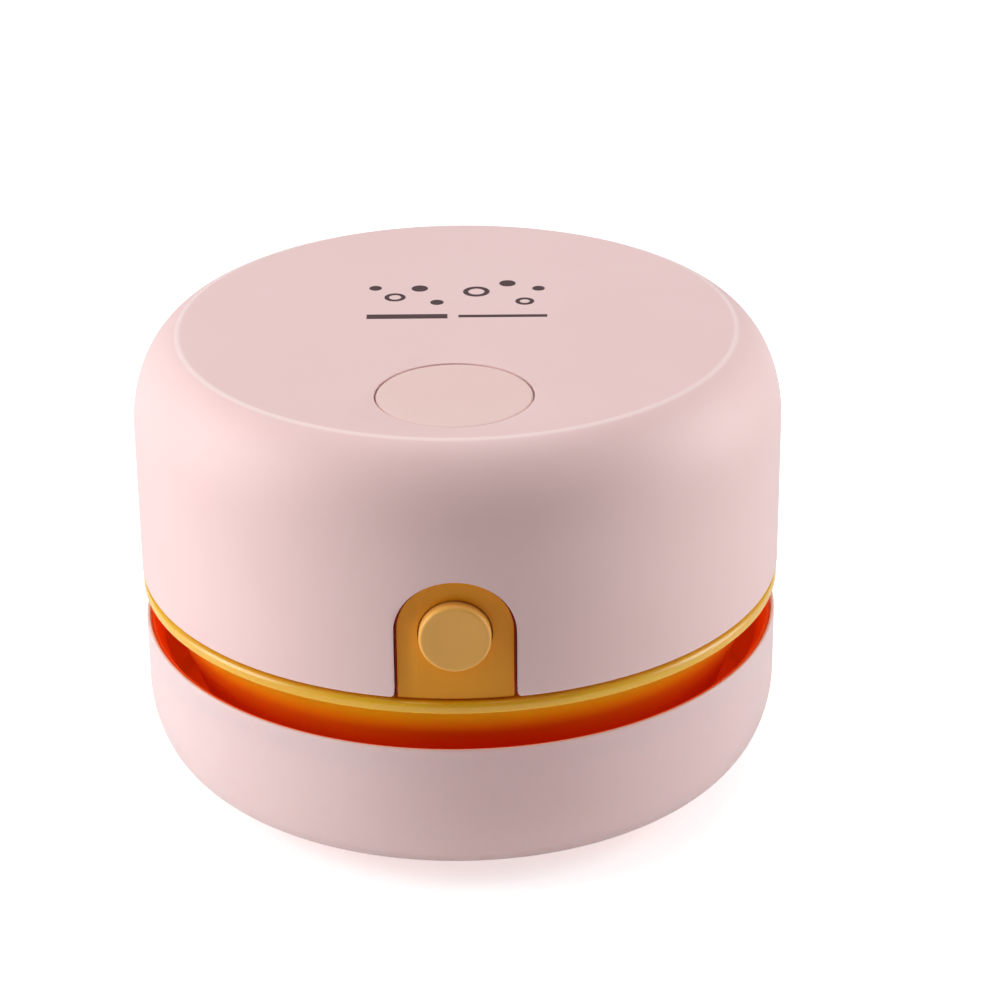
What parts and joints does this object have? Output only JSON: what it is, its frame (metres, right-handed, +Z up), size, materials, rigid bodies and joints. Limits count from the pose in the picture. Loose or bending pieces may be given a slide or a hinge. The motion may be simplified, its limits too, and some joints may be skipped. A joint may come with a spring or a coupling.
{
  "type": "desktop mini vacuum cleaner",
  "caption": "Round pink desktop mini vacuum cleaner: lift-off top unit with power button and latch button, amber dust cup, brushed base ring, motor, fan, filter and cells inside.",
  "frame": {"origin": "on the desk, under the centre of the round body", "axes": "+Z up, -Y the front with the latch button and the power button, +X to the right seen from the front"},
  "size_m": [0.082, 0.0828, 0.06],
  "materials": {
    "pink_shell": "satin, pale pink",
    "pink_cap": "satin, pale pink, a little creamier than the shell",
    "pink_ring": "satin, pale pink",
    "amber_cup": "smooth semi-gloss, amber",
    "amber_tab": "satin, brownish amber",
    "orange_liner": "satin, red-orange",
    "cream_button": "satin, cream",
    "chassis_plastic": "satin, amber",
    "grey_rubber": "matt, dark grey",
    "nylon": "off-white bristle",
    "screw_steel": "zinc plated",
    "motor_steel": "plain steel",
    "spring_steel": "nickel plated wire",
    "contact_brass": "nickel-brass strip",
    "black_plastic": "black",
    "white_plastic": "white",
    "board_green": "green board",
    "cell_wrap": "plain wrap",
    "filter_cloth": "white fleece"
  },
  "bodies": {
    "dust_unit": {"dust_cup": "amber_cup", "inlet_pipe": "amber_cup", "rim_seal": "grey_rubber", "base_ring": "pink_ring", "base_plate": "orange_liner", "brush_1": "nylon", "brush_2": "nylon", "brush_3": "nylon", "brush_4": "nylon", "base_screw_1": "screw_steel", "base_screw_2": "screw_steel", "base_screw_3": "screw_steel", "base_screw_4": "screw_steel"},
    "upper": {"top_shell": "pink_shell", "chassis": "chassis_plastic", "latch_housing": "amber_tab", "latch_spring": "spring_steel", "fan_cover": "white_plastic", "filter_frame": "white_plastic", "filter_pad": "filter_cloth", "motor_can": "motor_steel", "motor_end_cap": "black_plastic", "switch_board": "board_green", "switch_body": "black_plastic", "battery_left": "cell_wrap", "battery_right": "cell_wrap", "contact_plate_left": "contact_brass", "contact_plate_right": "contact_brass", "contact_spring_left": "spring_steel", "contact_spring_right": "spring_steel", "chassis_screw_1": "screw_steel", "chassis_screw_2": "screw_steel", "chassis_screw_3": "screw_steel", "chassis_screw_4": "screw_steel"},
    "power": {"power_button": "pink_cap", "switch_plunger": "white_plastic"},
    "release": {"release_button": "cream_button", "latch_slider": "white_plastic"},
    "fan": {"impeller": "white_plastic", "motor_shaft": "motor_steel"}
  },
  "joints": [
    {"name": "upper_lift", "type": "slide", "parent": "dust_unit", "child": "upper", "axis": [0, 0, 1], "range_m": [0, 0.04]},
    {"name": "power_press", "type": "slide", "parent": "upper", "child": "power", "axis": [0, 0, -1], "range_m": [0, 0.0015], "stiffness_N_per_m": 600, "springref_m": -0.0005},
    {"name": "release_press", "type": "slide", "parent": "upper", "child": "release", "axis": [0, 1, 0], "range_m": [0, 0.0016], "stiffness_N_per_m": 600, "springref_m": -0.0005, "deforming": ["latch_spring"]},
    {"name": "fan_spin", "type": "hinge", "parent": "upper", "child": "fan", "pos_m": [0, 0, 0.03], "axis": [0, 0, 1], "continuous": true}
  ]
}
